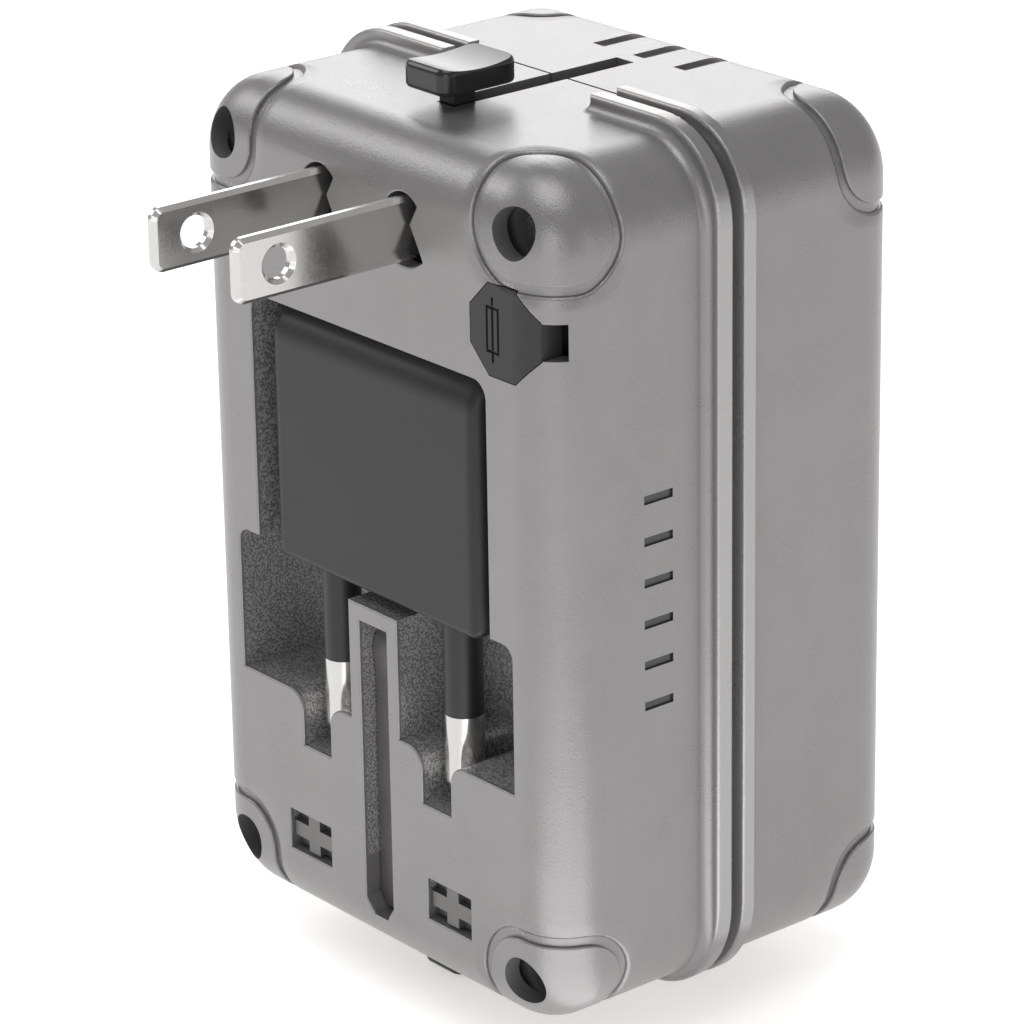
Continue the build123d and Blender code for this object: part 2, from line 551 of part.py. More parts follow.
# ------------------------------------------------------------------ flat-blade carriage
CARRIER_HALF, CARRIER_TOP, CARRIER_FOOT = 14.0, 40.65, 29.6
RETAINER_TOP = 39.4
US_CARRIER_Y = (3.3, 13.6)
US_STEM_Y = 12.1
HUB_R = 4.8
HUB_Y = (3.4, 9.4)
with BuildPart() as us_carrier:
    block((-CARRIER_HALF, CARRIER_HALF), US_CARRIER_Y, (CARRIER_FOOT, CARRIER_TOP))
    for sx in (-1, 1):
        rod_y(sx * BLADE_X, BLADE_Z, HUB_R + RUN, (US_CARRIER_Y[0] - 1, HUB_Y[1] + RUN),
              mode=Mode.SUBTRACT)
        rod_y(sx * BLADE_X, BLADE_Z, 4.1, (9, 14), mode=Mode.SUBTRACT)
    fillet(us_carrier.edges().filter_by(Axis.Y).group_by(Axis.X)[0], 0.8)
    fillet(us_carrier.edges().filter_by(Axis.Y).group_by(Axis.X)[-1], 0.8)
save(us_carrier, "us_carrier")

with BuildPart() as us_retainer:
    block((-CARRIER_HALF, CARRIER_HALF), (2.3, US_CARRIER_Y[0]), (CARRIER_FOOT, RETAINER_TOP))
    for sx in (-1, 1):
        rod_y(sx * BLADE_X, BLADE_Z, 4.1, (2, 4), mode=Mode.SUBTRACT)
save(us_retainer, "us_retainer")

for side_name, sx in (("left", -1), ("right", 1)):
    cx = sx * BLADE_X
    with BuildPart() as us_blade:
        block((cx - BLADE_T / 2, cx + BLADE_T / 2), (-BLADE_OUT, 12.6),
              (BLADE_Z - BLADE_DOWN, BLADE_Z + BLADE_UP))
        tip = us_blade.faces().sort_by(Axis.Y)[0]
        fillet(tip.edges().filter_by(Axis.X), 1.2)
        chamfer(us_blade.edges().filter_by(Axis.Z).group_by(Axis.Y)[0], 0.45)
        rod_x(BLADE_HOLE_Y, BLADE_Z - 0.6, BLADE_HOLE_R, (cx - 1, cx + 1), mode=Mode.SUBTRACT)
        circles = us_blade.edges().filter_by(GeomType.CIRCLE)
        chamfer(circles.filter_by(lambda e: abs(e.radius - BLADE_HOLE_R) < TINY), 0.4)
    save(us_blade, f"us_blade_{side_name}")
    with BuildPart() as us_hub:
        rod_y(cx, BLADE_Z, HUB_R, HUB_Y)
        block((cx - BLADE_T / 2, cx + BLADE_T / 2), (HUB_Y[0] - 1, HUB_Y[1] + 1),
              (BLADE_Z - BLADE_DOWN, BLADE_Z + BLADE_UP), mode=Mode.SUBTRACT)
    save(us_hub, f"us_hub_{side_name}")

us_knob = knob(US_STEM_Y, CARRIER_TOP, 1)
save(us_knob, "us_knob")

# ------------------------------------------------------------------ folding two-pin block
COVER_HALF, COVER_Y, COVER_Z = 13.9, (6.8, 7.9), (-1.3, 13.9)
EU_CORE_R, EU_CORE_TOP = 1.5, 1.8            # the pin's shank, inside its sleeve and the block
SLEEVE_END = BLOCK_FOOT - EU_SLEEVE_LENGTH
with BuildPart() as eu_block:
    block((-BLOCK_HALF, BLOCK_HALF), (0.5, 8.0), (BLOCK_FOOT, BLOCK_TOP))
    across = eu_block.edges().filter_by(Axis.X)
    fillet(across.sort_by(lambda e: e.center().Y - e.center().Z)[0], 3.8)
    across = eu_block.edges().filter_by(Axis.X)
    foot_edges = across.filter_by_position(Axis.Z, BLOCK_FOOT - TINY, BLOCK_FOOT + TINY)
    fillet(foot_edges.sort_by(Axis.Y)[0], 0.8)
    fillet(eu_block.faces().sort_by(Axis.X)[0].edges(), 1.5)
    fillet(eu_block.faces().sort_by(Axis.X)[-1].edges(), 1.5)
    rod_x(EU_HINGE_Y, EU_HINGE_Z, 1.0 + RUN / 2, (-20, 20), mode=Mode.SUBTRACT)
    block((-COVER_HALF - RUN, COVER_HALF + RUN), (COVER_Y[0], 9.0), (COVER_Z[0] - RUN, COVER_Z[1] + RUN),
          mode=Mode.SUBTRACT)
    for sx in (-1, 1):
        rod_z(sx * EU_PIN_X, EU_PIN_Y, EU_CORE_R, (BLOCK_FOOT - 1, EU_CORE_TOP), mode=Mode.SUBTRACT)
        block((sx * EU_PIN_X - 1.3, sx * EU_PIN_X + 1.3), (5.0, 7), (0.0, 13.0), mode=Mode.SUBTRACT)
save(eu_block, "eu_block")

with BuildPart() as eu_block_cover:
    block((-COVER_HALF, COVER_HALF), COVER_Y, COVER_Z)
save(eu_block_cover, "eu_block_cover")

for side_name, sx in (("left", -1), ("right", 1)):
    cx = sx * EU_PIN_X
    with BuildPart() as eu_pin:
        rod_z(cx, EU_PIN_Y, EU_CORE_R, (SLEEVE_END - 0.1, EU_CORE_TOP))
        rod_z(cx, EU_PIN_Y, EU_PIN_R, (BLOCK_FOOT - EU_PIN_LENGTH, SLEEVE_END))
        fillet(eu_pin.edges().group_by(Axis.Z)[0], 1.4)
    save(eu_pin, f"eu_pin_{side_name}")
    with BuildPart() as eu_sleeve:
        rod_z(cx, EU_PIN_Y, EU_PIN_R - 0.03, (SLEEVE_END, BLOCK_FOOT))
        rod_z(cx, EU_PIN_Y, EU_CORE_R, (SLEEVE_END - 1, BLOCK_FOOT + 1), mode=Mode.SUBTRACT)
    save(eu_sleeve, f"eu_sleeve_{side_name}")

with BuildPart() as eu_links:
    for sx in (-1, 1):
        block((sx * EU_PIN_X - 1.2, sx * EU_PIN_X + 1.2), (5.3, 6.1), (0.1, 12.9))
save(eu_links, "eu_links")

with BuildPart() as eu_hinge_pins:
    for sx in (-1, 1):
        rod_x(EU_HINGE_Y, EU_HINGE_Z, 1.0, tuple(sorted((sx * 6.0, sx * (RECESS_HALF + 1.8)))))
save(eu_hinge_pins, "eu_hinge_pins")

# ------------------------------------------------------------------ sliding three-pin plug
UK_CARRIER_Y = (30.3, 39.0)
UK_CARRIER_Z = (-38.2, -30.0)
UK_STEM_Y = 37.5
with BuildPart() as uk_carrier:
    block((-14.6, 14.6), UK_CARRIER_Y, UK_CARRIER_Z)
    block((-4.4, 4.4), (30.0, 34.2), (-39, -29), mode=Mode.SUBTRACT)
    for sx in (-1, 1):
        block((sx * UK_PIN_X - UK_PIN_W / 2, sx * UK_PIN_X + UK_PIN_W / 2), (30.0, 33.4),
              (UK_PIN_Z - UK_PIN_H / 2, UK_PIN_Z + UK_PIN_H / 2), mode=Mode.SUBTRACT)
save(uk_carrier, "uk_carrier")

for side_name, sx in (("left", -1), ("right", 1)):
    cx = sx * UK_PIN_X
    with BuildPart() as uk_pin:
        block((cx - UK_PIN_W / 2, cx + UK_PIN_W / 2), (UK_TIP_Y, 33.4),
              (UK_PIN_Z - UK_PIN_H / 2, UK_PIN_Z + UK_PIN_H / 2))
        with BuildSketch(at_depth(0)):
            with Locations((cx, UK_PIN_Z)):
                Rectangle(UK_PIN_W + 1, UK_PIN_H + 1)
                Rectangle(2 * UK_TIP_ARM_X, UK_PIN_H + 2, mode=Mode.SUBTRACT)
                Rectangle(UK_PIN_W + 2, 2 * UK_TIP_ARM_Z, mode=Mode.SUBTRACT)
        extrude(amount=-(UK_TIP_Y + UK_TIP_STEP), mode=Mode.SUBTRACT)
    save(uk_pin, f"uk_pin_{side_name}")

uk_knob = knob(UK_STEM_Y, -UK_CARRIER_Z[0], -1)
save(uk_knob, "uk_knob")

with BuildPart() as uk_earth_pin:
    with BuildSketch(Plane.YZ):
        with BuildLine():
            Polyline((EARTH_FRONT_Y, EARTH_TIP_Z), (EARTH_FRONT_Y + EARTH_D, EARTH_TIP_Z),
                     (EARTH_FRONT_Y + EARTH_D, -13.5), (EARTH_PIVOT_Y + 3.3, EARTH_PIVOT_Z),
                     (EARTH_PIVOT_Y - 3.3, EARTH_PIVOT_Z), (EARTH_FRONT_Y, -13.5), close=True)
        make_face()
        with Locations((EARTH_PIVOT_Y, EARTH_PIVOT_Z)):
            Circle(3.3)
    extrude(amount=EARTH_W / 2, both=True)
    tip_edges = uk_earth_pin.faces().sort_by(Axis.Z)[0].edges()
    chamfer(tip_edges.filter_by(Axis.Y), 0.9, 1.5)
    rod_x(EARTH_PIVOT_Y, EARTH_PIVOT_Z, 0.85, (-3, 3), mode=Mode.SUBTRACT)
save(uk_earth_pin, "uk_earth_pin")

with BuildPart() as earth_hinge_pin:
    rod_x(EARTH_PIVOT_Y, EARTH_PIVOT_Z, 0.8, (-EARTH_AXLE_HALF, EARTH_AXLE_HALF))
save(earth_hinge_pin, "earth_hinge_pin")

# ------------------------------------------------------------------ lock button
PAD_LOW = -CASE_H / 2 - 3.8
PAD_Y = (7.6, 14.4)
with BuildPart() as lock_button:
    block((-3.1, 3.1), PAD_Y, (PAD_LOW, PAD_LOW + 2.0))
    fillet(lock_button.edges().filter_by(Axis.Z), 1.4)
    fillet(lock_button.faces().sort_by(Axis.Z)[0].edges(), 0.4)
    block((-1.4, 1.4), (12.2, 14.2), (PAD_LOW + 1.0, -40.3))
    block((-2.6, 2.6), (11.9, 14.9), (-41.4, -40.3))
save(lock_button, "lock_button")
lock_spring = coil_spring(0, 13.3, -40.3, 1.1, 0.2, 0.75, 4)
save(lock_spring, "lock_spring")

# ------------------------------------------------------------------ fuse drawer
with BuildPart() as fuse_cover:
    add(CASE)
    extrude(fuse_octagon(-1), amount=-4.5, mode=Mode.INTERSECT)
    rod_y(FUSE_X, FUSE_Z, 3.9, (3.0, 6.8))
    rod_y(FUSE_X, FUSE_Z, FUSE_R + 0.02, (5.2, 7), mode=Mode.SUBTRACT)
    with BuildSketch(at_depth(-1)):
        with Locations((FUSE_X - 1.3, FUSE_Z)):
            Rectangle(1.9, 4.6)
            Rectangle(1.3, 4.0, mode=Mode.SUBTRACT)
            Rectangle(0.32, 6.4)
    extrude(amount=-1.3, mode=Mode.SUBTRACT)
save(fuse_cover, "fuse_cover")

FUSE_Y = (5.3, 30.7)
CAP_LENGTH = 6.0
with BuildPart() as fuse_tube:
    rod_y(FUSE_X, FUSE_Z, FUSE_R - 0.2, FUSE_Y)
save(fuse_tube, "fuse_tube")
with BuildPart() as fuse_caps:
    for y0 in (FUSE_Y[0], FUSE_Y[1] - CAP_LENGTH):
        rod_y(FUSE_X, FUSE_Z, FUSE_R, (y0, y0 + CAP_LENGTH))
    add(fuse_tube.part, mode=Mode.SUBTRACT)
save(fuse_caps, "fuse_caps")

with BuildPart() as fuse_holder:
    rod_y(FUSE_X, FUSE_Z, 4.2, (7.2, 33.0))
    rod_y(FUSE_X, FUSE_Z, 3.4, (7.0, 32.0), mode=Mode.SUBTRACT)
    block((FUSE_X - 1.2, FUSE_X + 1.2), (24.0, 30.0), (FUSE_Z - 5, FUSE_Z - 2), mode=Mode.SUBTRACT)
save(fuse_holder, "fuse_holder")
with BuildPart() as fuse_clip:
    rod_y(FUSE_X, FUSE_Z, 3.3, (30.9, 31.9))
save(fuse_clip, "fuse_clip")

# ------------------------------------------------------------------ charger board
with BuildPart() as charger_board:
    block((-16.0, 16.0), (14.4, 43.0), (BOARD_LOW, BOARD_HIGH))
    with Locations([(sx * 13.8, 17.0, BOARD_LOW) for sx in (-1, 1)]):
        Cylinder(1.1, 4, mode=Mode.SUBTRACT)
save(charger_board, "charger_board")

with BuildPart() as usb_a_port:
    block((USB_A_X - USB_A_W / 2, USB_A_X + USB_A_W / 2), (32.5, 44.9), (USB_Z, USB_Z + USB_A_H))
    block((USB_A_X - USB_A_W / 2 + 0.35, USB_A_X + USB_A_W / 2 - 0.35), (34.0, 46),
          (USB_Z + 0.35, USB_Z + USB_A_H - 0.35), mode=Mode.SUBTRACT)
save(usb_a_port, "usb_a_port")
with BuildPart() as usb_a_tongue:
    block((USB_A_X - 5.5, USB_A_X + 5.5), (34.0, 43.6), (USB_Z + 2.9, USB_Z + 4.8))
save(usb_a_tongue, "usb_a_tongue")

with BuildPart() as usb_c_port:
    with BuildSketch(at_depth(37.5)):
        with Locations((USB_C_X, USB_Z + USB_C_H / 2)):
            RectangleRounded(USB_C_W, USB_C_H, 1.4)
    extrude(amount=-7.4)
    with BuildSketch(at_depth(38.5)):
        with Locations((USB_C_X, USB_Z + USB_C_H / 2)):
            RectangleRounded(USB_C_W - 0.6, USB_C_H - 0.6, 1.1)
    extrude(amount=-8, mode=Mode.SUBTRACT)
save(usb_c_port, "usb_c_port")
with BuildPart() as usb_c_tongue:
    block((USB_C_X - 3.3, USB_C_X + 3.3), (38.5, 44.0), (USB_Z + 1.25, USB_Z + 1.95))
save(usb_c_tongue, "usb_c_tongue")

WINDOW_XS = (-12.4, -6.6)                    # middles of the two windows in the transformer's core
WINDOW_HALF = 1.3
with BuildPart() as transformer_core:
    block((-14.5, -4.5), (16.0, 27.0), (BOARD_HIGH, BOARD_HIGH + 5.6))
    for wx in WINDOW_XS:
        block((wx - WINDOW_HALF, wx + WINDOW_HALF), (15, 28), (BOARD_HIGH + 1.2, BOARD_HIGH + 4.4),
              mode=Mode.SUBTRACT)
save(transformer_core, "transformer_core")
with BuildPart() as transformer_coil:
    for wx in WINDOW_XS:
        block((wx - WINDOW_HALF + 0.05, wx + WINDOW_HALF - 0.05), (14.8, 28.2),
              (BOARD_HIGH + 1.25, BOARD_HIGH + 4.35))
save(transformer_coil, "transformer_coil")
with BuildPart() as capacitors:
    for cap_x in (0.4, 6.4):
        rod_y(cap_x, BOARD_HIGH + 2.75, 2.7, (16.0, 28.0))
save(capacitors, "capacitors")
with BuildPart() as driver_chips:
    block((0.0, 5.0), (30.5, 34.5), (BOARD_HIGH, BOARD_HIGH + 1.3))
    block((11.5, 15.0), (24.0, 27.0), (BOARD_HIGH, BOARD_HIGH + 1.3))
save(driver_chips, "driver_chips")
with BuildPart() as choke:
    with Locations((12.6, 19.5, BOARD_HIGH + 1.45)):
        Torus(2.0, 1.45)
save(choke, "choke")
with BuildPart() as light_pipe:
    rod_y(LENS_X, LENS_Z, LENS_R - 0.05, (41.2, CASE_D - 0.1))
    block((LENS_X - 0.8, LENS_X + 0.8), (40.0, 41.4), (BOARD_HIGH, LENS_Z + 0.8))
save(light_pipe, "light_pipe")

# ------------------------------------------------------------------ case screws
with BuildPart() as case_screws:
    for cx, cz in CORNERS:
        rod_y(cx, cz, 2.2, (13.4, 15.5))
        rod_y(cx, cz, 1.0, (15.5, 36.0))
        with BuildSketch(at_depth(13.4)):
            with Locations((cx, cz)):
                Rectangle(2.6, 0.6)
                Rectangle(0.6, 2.6)
        extrude(amount=-1.0, mode=Mode.SUBTRACT)
save(case_screws, "case_screws")
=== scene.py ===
import json
import math

import bpy
from mathutils import Matrix, Vector


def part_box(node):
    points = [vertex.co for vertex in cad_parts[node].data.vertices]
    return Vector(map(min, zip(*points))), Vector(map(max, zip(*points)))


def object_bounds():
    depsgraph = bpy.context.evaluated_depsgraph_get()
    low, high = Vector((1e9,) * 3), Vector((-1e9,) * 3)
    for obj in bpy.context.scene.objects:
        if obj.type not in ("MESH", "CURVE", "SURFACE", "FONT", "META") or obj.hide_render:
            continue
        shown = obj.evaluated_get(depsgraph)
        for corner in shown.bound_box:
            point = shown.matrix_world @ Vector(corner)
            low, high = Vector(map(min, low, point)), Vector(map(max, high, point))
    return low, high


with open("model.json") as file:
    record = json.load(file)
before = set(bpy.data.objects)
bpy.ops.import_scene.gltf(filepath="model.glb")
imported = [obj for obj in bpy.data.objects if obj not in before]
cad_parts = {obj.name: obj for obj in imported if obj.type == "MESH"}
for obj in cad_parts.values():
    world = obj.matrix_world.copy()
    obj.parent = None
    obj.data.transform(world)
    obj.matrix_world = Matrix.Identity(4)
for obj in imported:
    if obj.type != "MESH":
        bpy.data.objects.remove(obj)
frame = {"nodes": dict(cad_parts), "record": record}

CAD_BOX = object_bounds()
MM = 0.001

# ------------------------------------------------------------------ node material helpers


def new_material(name):
    """An empty node material, its Principled shader and a maker of nodes."""
    material = bpy.data.materials.new(name)
    material.use_nodes = True
    tree = material.node_tree
    shader = tree.nodes["Principled BSDF"]

    def node(kind, **values):
        made = tree.nodes.new(kind)
        for key, value in values.items():
            if key in made.inputs:
                made.inputs[key].default_value = value
            else:
                setattr(made, key, value)
        return made

    return material, tree, shader, node


def ramp(node, stops):
    """A colour ramp through (position, colour) stops."""
    made = node("ShaderNodeValToRGB")
    elements = made.color_ramp.elements
    while len(elements) < len(stops):
        elements.new(0.5)
    for element, (position, colour) in zip(elements, stops):
        element.position = position
        element.color = (*colour, 1)
    return made


def textured(name, dark, light, rough, metallic=0.0, grain_mm=0.2, bump=0.2, depth_mm=0.01,
             blotch_mm=6.0, coat=0.0, specular=0.5):
    """A finish with a fine grain, slow blotches of colour and roughness that follows the grain.

    dark and light are the ends of the colour, rough is a pair of roughness limits, grain_mm is the
    size of the grain and depth_mm its height.
    """
    material, tree, shader, node = new_material(name)
    link = tree.links.new
    place = node("ShaderNodeTexCoord")
    grain = node("ShaderNodeTexNoise", Scale=1 / (grain_mm * MM), Detail=3.0, Roughness=0.6)
    blotch = node("ShaderNodeTexNoise", Scale=1 / (blotch_mm * MM), Detail=4.0, Roughness=0.55)
    link(place.outputs["Object"], grain.inputs["Vector"])
    link(place.outputs["Object"], blotch.inputs["Vector"])
    mix = node("ShaderNodeMath", operation="MULTIPLY_ADD")
    mix.inputs[1].default_value = 0.5
    link(grain.outputs["Fac"], mix.inputs[0])
    half = node("ShaderNodeMath", operation="MULTIPLY")
    half.inputs[1].default_value = 0.5
    link(blotch.outputs["Fac"], half.inputs[0])
    link(half.outputs[0], mix.inputs[2])
    colour = ramp(node, [(0.3, dark), (0.7, light)])
    link(mix.outputs[0], colour.inputs["Fac"])
    link(colour.outputs["Color"], shader.inputs["Base Color"])
    spread = node("ShaderNodeMapRange")
    spread.inputs["From Min"].default_value = 0.3
    spread.inputs["From Max"].default_value = 0.7
    spread.inputs["To Min"].default_value = rough[0]
    spread.inputs["To Max"].default_value = rough[1]
    link(mix.outputs[0], spread.inputs["Value"])
    link(spread.outputs["Result"], shader.inputs["Roughness"])
    relief = node("ShaderNodeBump", Strength=bump, Distance=depth_mm * MM)
    link(grain.outputs["Fac"], relief.inputs["Height"])
    link(relief.outputs["Normal"], shader.inputs["Normal"])
    shader.inputs["Metallic"].default_value = metallic
    shader.inputs["Coat Weight"].default_value = coat
    shader.inputs["Specular IOR Level"].default_value = specular
    return material


def grey(value):
    return (value, value, value)


def math_node(tree, operation, first, second=None):
    """Result of a Math node; each operand is a number or another node's output."""
    made = tree.nodes.new("ShaderNodeMath")
    made.operation = operation
    for socket, value in zip(made.inputs, (first, second)):
        if isinstance(value, (int, float)):
            socket.default_value = value
        elif value is not None:
            tree.links.new(value, socket)
    return made.outputs[0]


def all_of(tree, factors):
    """Product of several factors between 0 and 1."""
    product = factors[0]
    for factor in factors[1:]:
        product = math_node(tree, "MULTIPLY", product, factor)
    return product


def object_axes(tree):
    """X, Y and Z of the point being shaded, in metres."""
    place = tree.nodes.new("ShaderNodeTexCoord")
    split = tree.nodes.new("ShaderNodeSeparateXYZ")
    tree.links.new(place.outputs["Object"], split.inputs["Vector"])
    return split.outputs["X"], split.outputs["Y"], split.outputs["Z"]


def rise(tree, value, start, end, smooth=True):
    """0 below start and 1 above end, with a soft or a straight change between."""
    made = tree.nodes.new("ShaderNodeMapRange")
    made.interpolation_type = "SMOOTHSTEP" if smooth else "LINEAR"
    made.inputs["From Min"].default_value = start
    made.inputs["From Max"].default_value = end
    tree.links.new(value, made.inputs["Value"])
    return made.outputs["Result"]


def colour_mix(tree, factor, first, second):
    """Mix of two colours, each a triple or another node's output."""
    made = tree.nodes.new("ShaderNodeMix")
    made.data_type = "RGBA"
    tree.links.new(factor, made.inputs["Factor"])
    for socket, colour in ((made.inputs["A"], first), (made.inputs["B"], second)):
        if isinstance(colour, tuple):
            socket.default_value = (*colour, 1)
        else:
            tree.links.new(colour, socket)
    return made.outputs["Result"]


def paint_over(tree, factor, colour):
    """Lay a colour over the finish's own colour where factor is 1."""
    base = tree.nodes["Principled BSDF"].inputs["Base Color"]
    tree.links.new(colour_mix(tree, factor, base.links[0].from_socket, colour), base)


def paint_crest_highlight(material, reach, colour):
    """Paint what lies further out than reach (x, z), in metres, lighter: a painted highlight on the rib
    crests.
    """
    tree = material.node_tree
    x, y, z = object_axes(tree)
    beyond = [rise(tree, math_node(tree, "ABSOLUTE", value), limit, limit + 0.4 * MM, smooth=False)
              for value, limit in ((x, reach[0]), (z, reach[1]))]
    paint_over(tree, math_node(tree, "MAXIMUM", *beyond), colour)


def soften_caps(material, cap_corner, case_half, case_depth, depth_mm):
    """Bump that lets the case fall softly towards the edge of each domed corner cap.

    cap_corner is the cap's inner corner (x, y, z) and case_half the case's half sizes in X and Z.
    """
    roundness = 5.0
    tree = material.node_tree
    shader = tree.nodes["Principled BSDF"]
    x, y, z = object_axes(tree)
    from_end = math_node(tree, "MINIMUM", y, math_node(tree, "SUBTRACT", case_depth, y))
    terms = [math_node(tree, "DIVIDE", from_end, cap_corner[1])]
    for value, half, inner in ((x, case_half[0], cap_corner[0]), (z, case_half[1], cap_corner[2])):
        inwards = math_node(tree, "SUBTRACT", half, math_node(tree, "ABSOLUTE", value))
        terms.append(math_node(tree, "DIVIDE", inwards, half - inner))
    powers = [math_node(tree, "POWER", math_node(tree, "MAXIMUM", term, 0.0), roundness)
              for term in terms]
    total = math_node(tree, "ADD", math_node(tree, "ADD", powers[0], powers[1]), powers[2])
    cap_sizes_out = math_node(tree, "POWER", total, 1 / roundness)
    before = shader.inputs["Normal"].links[0].from_socket
    relief = tree.nodes.new("ShaderNodeBump")
    relief.inputs["Strength"].default_value = 1.0
    relief.inputs["Distance"].default_value = depth_mm * MM
    tree.links.new(rise(tree, cap_sizes_out, 1.02, 1.24), relief.inputs["Height"])
    tree.links.new(before, relief.inputs["Normal"])
    tree.links.new(relief.outputs["Normal"], shader.inputs["Normal"])


def paint_pocket_shade_speckle(material, case_half, pocket_half, case_depth, dark, light, grain_mm=0.24):
    """Painted shade and light: a coarse speckle, between two colours, on the walls inside the pockets,
    wells and slots.

    Inside pocket_half (x, z) the walls start just behind the plug face, elsewhere 4 mm behind it.
    """
    tree = material.node_tree
    x, y, z = object_axes(tree)
    width, height = math_node(tree, "ABSOLUTE", x), math_node(tree, "ABSOLUTE", z)

    def within(half, start):
        return all_of(tree, (math_node(tree, "LESS_THAN", width, half[0]),
                             math_node(tree, "LESS_THAN", height, half[1]),
                             rise(tree, y, start, start + 0.4 * MM)))

    deep_half = [half - 3.0 * MM for half in case_half]
    walls = math_node(tree, "MAXIMUM", within(pocket_half, 0.2 * MM), within(deep_half, 4.0 * MM))
    place = tree.nodes.new("ShaderNodeTexCoord")
    noise = tree.nodes.new("ShaderNodeTexNoise")
    noise.inputs["Scale"].default_value = 1 / (grain_mm * MM)
    noise.inputs["Detail"].default_value = 1.0
    tree.links.new(place.outputs["Object"], noise.inputs["Vector"])
    # painted speckle of shade and light on the recess walls
    shade_speckle = colour_mix(tree, rise(tree, noise.outputs["Fac"], 0.40, 0.60), light, dark)
    in_front_half = math_node(tree, "LESS_THAN", y, case_depth / 2)
    paint_over(tree, all_of(tree, (walls, in_front_half)), shade_speckle)


def darken_bars(material, x_limits, y_limits, z_limit, colour):
    """Fill the sunk bars on the right side with a darker finish."""
    tree = material.node_tree
    x, y, z = object_axes(tree)
    inside = all_of(tree, (math_node(tree, "GREATER_THAN", x, x_limits[0]),
                           math_node(tree, "LESS_THAN", x, x_limits[1]),
                           math_node(tree, "GREATER_THAN", y, y_limits[0]),
                           math_node(tree, "LESS_THAN", y, y_limits[1]),
                           math_node(tree, "LESS_THAN", math_node(tree, "ABSOLUTE", z), z_limit)))
    paint_over(tree, inside, colour)


SLOT_MATERIALS = {
    "case_grey": textured("case_bead_blasted", (0.235, 0.232, 0.232), (0.272, 0.269, 0.269), (0.26, 0.33),
                          metallic=0.6, grain_mm=0.19, bump=1.0, depth_mm=0.034),
    "block_grey": textured("block_satin", (0.013, 0.0125, 0.0125), (0.019, 0.018, 0.018), (0.36, 0.46),
                           grain_mm=0.12, bump=0.25, depth_mm=0.006, specular=0.4),
    "cover_grey": textured("cover_satin", (0.026, 0.025, 0.025), (0.036, 0.034, 0.035), (0.42, 0.55),
                           grain_mm=0.12, bump=0.25, depth_mm=0.006, specular=0.35),
    "knob_black": textured("knob_gloss", (0.006, 0.006, 0.006), (0.010, 0.010, 0.010), (0.16, 0.24),
                           grain_mm=0.10, bump=0.15, depth_mm=0.004, specular=0.6),
    "socket_black": textured("socket_textured", (0.012, 0.012, 0.013), (0.026, 0.026, 0.027), (0.45, 0.62),
                             grain_mm=0.25, bump=0.6, depth_mm=0.02),
    "inner_nylon": textured("natural_nylon", (0.50, 0.48, 0.42), (0.62, 0.60, 0.54), (0.45, 0.6),
                            grain_mm=0.5, bump=0.2, depth_mm=0.01),
    "carriage_black": textured("glass_filled_nylon", grey(0.006), grey(0.012), (0.5, 0.65),
                               grain_mm=0.25, bump=0.4, depth_mm=0.012, specular=0.2),
    "tip_nickel": textured("satin_nickel", (0.13, 0.13, 0.128), (0.19, 0.19, 0.187), (0.32, 0.45),
                           metallic=0.7, grain_mm=0.15, bump=0.3, depth_mm=0.008),
    "pin_nickel": textured("polished_nickel", (0.54, 0.535, 0.52), (0.63, 0.62, 0.605), (0.12, 0.22),
                           metallic=0.95, grain_mm=0.3, bump=0.06, depth_mm=0.004),
    "earth_grey": textured("dark_nickel", (0.10, 0.098, 0.096), (0.16, 0.157, 0.153), (0.34, 0.46),
                           metallic=0.7, grain_mm=0.14, bump=0.4, depth_mm=0.01),
    "contact_brass": textured("sheet_brass", (0.62, 0.42, 0.16), (0.78, 0.57, 0.26), (0.25, 0.4),
                              metallic=1.0, grain_mm=0.3, bump=0.15, depth_mm=0.006),
    "steel": textured("bright_steel", (0.50, 0.50, 0.50), (0.64, 0.64, 0.64), (0.22, 0.34),
                      metallic=1.0, grain_mm=0.2, bump=0.15, depth_mm=0.005),
    "sleeve_black": textured("sleeve_satin", (0.010, 0.010, 0.010), (0.018, 0.018, 0.018), (0.35, 0.48),
                             grain_mm=0.12, bump=0.2, depth_mm=0.005),
    "fuse_ceramic": textured("glazed_ceramic", (0.78, 0.75, 0.66), (0.86, 0.84, 0.77), (0.18, 0.28),
                             grain_mm=0.4, bump=0.1, depth_mm=0.006, coat=0.4),
    "board_green": textured("solder_mask", (0.010, 0.085, 0.030), (0.020, 0.14, 0.05), (0.25, 0.38),
                            grain_mm=0.9, bump=0.25, depth_mm=0.02, coat=0.3),
    "ferrite": textured("ferrite_grain", (0.035, 0.033, 0.032), (0.06, 0.057, 0.055), (0.5, 0.65),
                        grain_mm=0.3, bump=0.5, depth_mm=0.02),
    "copper": textured("enamelled_copper", (0.50, 0.18, 0.07), (0.68, 0.28, 0.12), (0.2, 0.32),
                       metallic=1.0, grain_mm=0.4, bump=0.3, depth_mm=0.02),
    "can_aluminium": textured("drawn_aluminium", (0.62, 0.63, 0.64), (0.74, 0.75, 0.76), (0.25, 0.38),
                              metallic=1.0, grain_mm=0.3, bump=0.12, depth_mm=0.005),
    "lens_clear": textured("clear_lens", (0.75, 0.82, 0.9), (0.85, 0.92, 0.98), (0.06, 0.12),
                           grain_mm=1.0, bump=0.05, depth_mm=0.004, coat=0.5),
}
